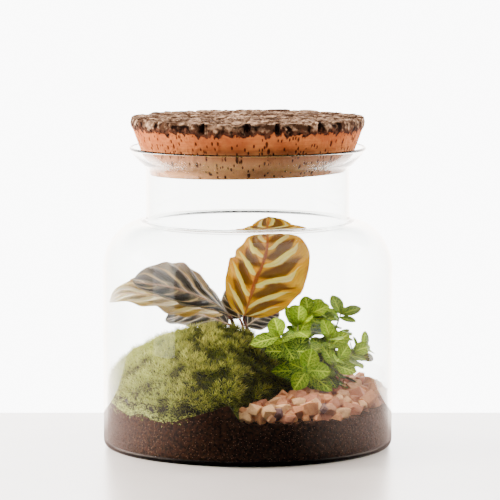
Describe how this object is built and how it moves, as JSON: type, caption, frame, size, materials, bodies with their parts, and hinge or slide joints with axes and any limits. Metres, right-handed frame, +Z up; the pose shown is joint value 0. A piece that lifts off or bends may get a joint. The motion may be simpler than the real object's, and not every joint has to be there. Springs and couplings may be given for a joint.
{
  "type": "glass plant terrarium",
  "caption": "Closed glass jar with a bark cork stopper, planted with moss, a striped-leaf plant, a small net-leaved bush and gravel on dark soil.",
  "frame": {"origin": "middle of the jar's flat foot, on the surface that it stands on", "axes": "+Z up along the jar's axis, -Y towards the side that the picture shows, +X to its right"},
  "size_m": [0.25, 0.25, 0.286],
  "materials": {
    "clear_glass": "polished",
    "bark_cork": "matte",
    "potting_soil": "matte",
    "live_moss": "matte",
    "pink_gravel": "matte",
    "golden_leaf": "satin",
    "dark_leaf": "satin",
    "net_leaf": "satin"
  },
  "bodies": {
    "root": {"glass_jar": "clear_glass", "cork_stopper": "bark_cork", "soil_bed": "potting_soil", "moss_cushion": "live_moss", "gravel_patch": "pink_gravel", "peacock_leaf_1": "golden_leaf", "peacock_leaf_2": "dark_leaf", "peacock_leaf_3": "golden_leaf", "peacock_leaf_4": "dark_leaf", "peacock_leaf_5": "dark_leaf", "peacock_leaf_6": "dark_leaf", "fittonia_stem_1": "net_leaf", "fittonia_stem_2": "net_leaf", "fittonia_stem_3": "net_leaf", "fittonia_stem_4": "net_leaf", "fittonia_stem_5": "net_leaf", "fittonia_stem_6": "net_leaf", "fittonia_stem_7": "net_leaf", "fittonia_stem_8": "net_leaf", "fittonia_stem_9": "net_leaf", "fittonia_stem_10": "net_leaf", "fittonia_stem_11": "net_leaf"}
  },
  "joints": []
}
